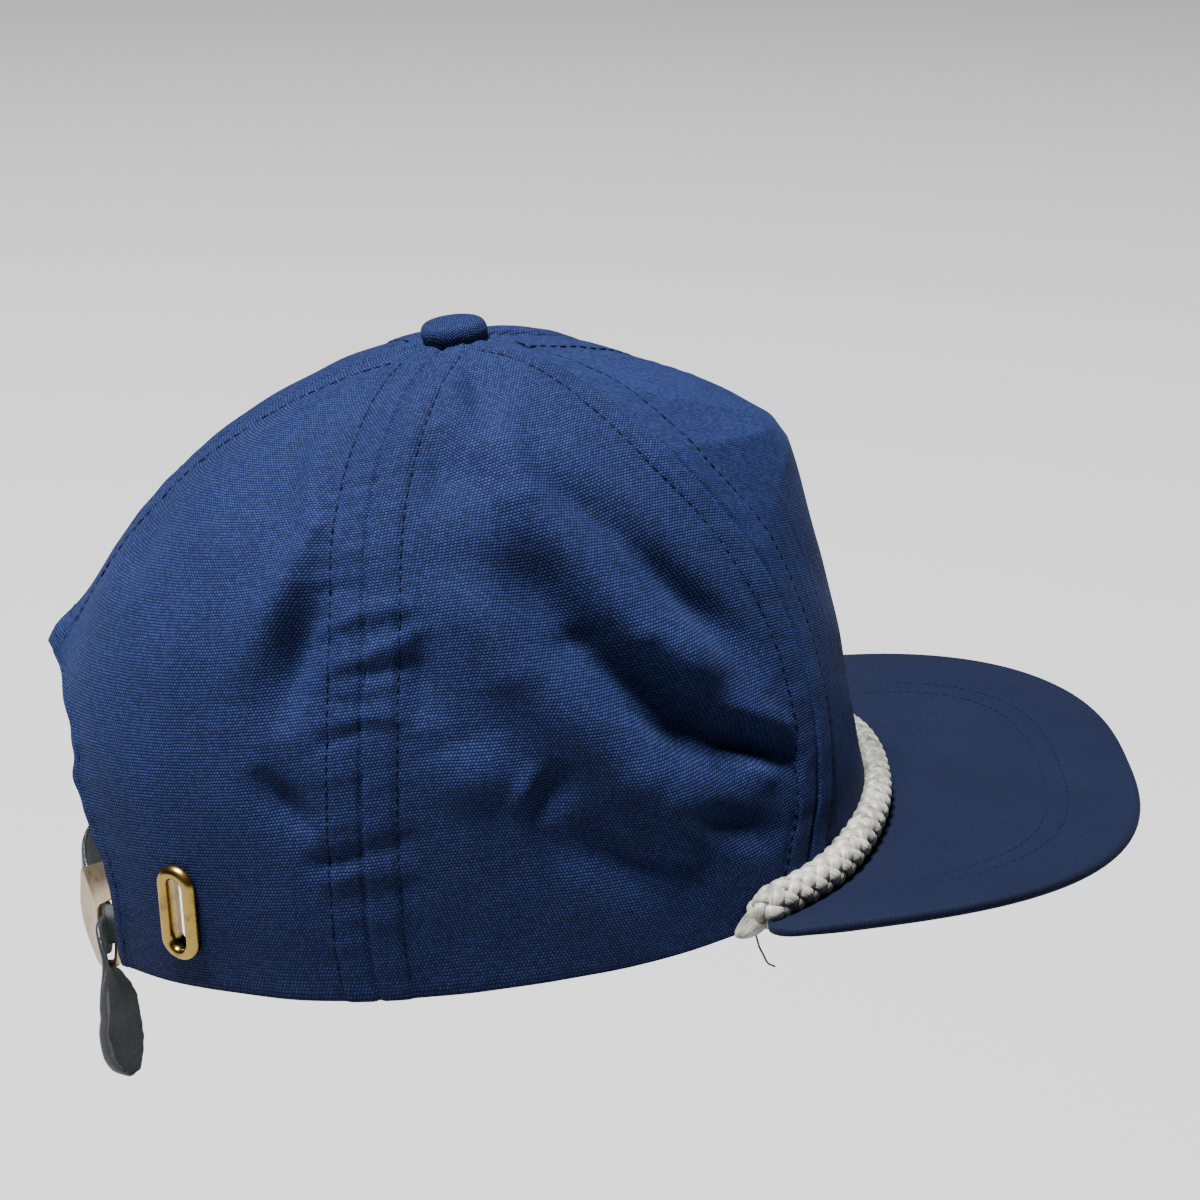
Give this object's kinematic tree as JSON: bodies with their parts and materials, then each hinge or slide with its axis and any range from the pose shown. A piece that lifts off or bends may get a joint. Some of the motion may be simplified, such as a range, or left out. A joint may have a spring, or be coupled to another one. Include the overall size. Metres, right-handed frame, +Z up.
{
  "type": "panel rope cap",
  "caption": "Navy cloth cap with a stiff front panel, a flat stitched visor, a white braided rope along it, a covered top button and a leather back strap in a brass slide buckle.",
  "frame": {"origin": "middle of the head opening, on the rim's mean plane, where a head holds the cap", "axes": "+X to the wearer's left, -Y to the front along the visor, +Z up; the cap is tipped 11.4 degrees with its front up, as it is worn and as it is pictured"},
  "size_m": [0.164, 0.266, 0.1847],
  "materials": {
    "navy_cloth": "matte plain weave",
    "button_cloth": "matte plain weave",
    "visor_cloth": "matte, tightly woven and smooth",
    "white_rope": "silky braid",
    "aged_brass": "polished, slightly tarnished",
    "pale_brass": "satin with fine scratches",
    "black_leather": "glossy fine grain"
  },
  "bodies": {
    "root": {"front_panel": "navy_cloth", "side_panel_right": "navy_cloth", "side_panel_left": "navy_cloth", "back_panel_right": "navy_cloth", "back_panel_left": "navy_cloth", "top_button": "button_cloth", "visor": "visor_cloth", "rope": "white_rope", "eyelet": "aged_brass", "buckle": "pale_brass", "strap": "black_leather", "strap_tab": "black_leather"}
  },
  "joints": []
}
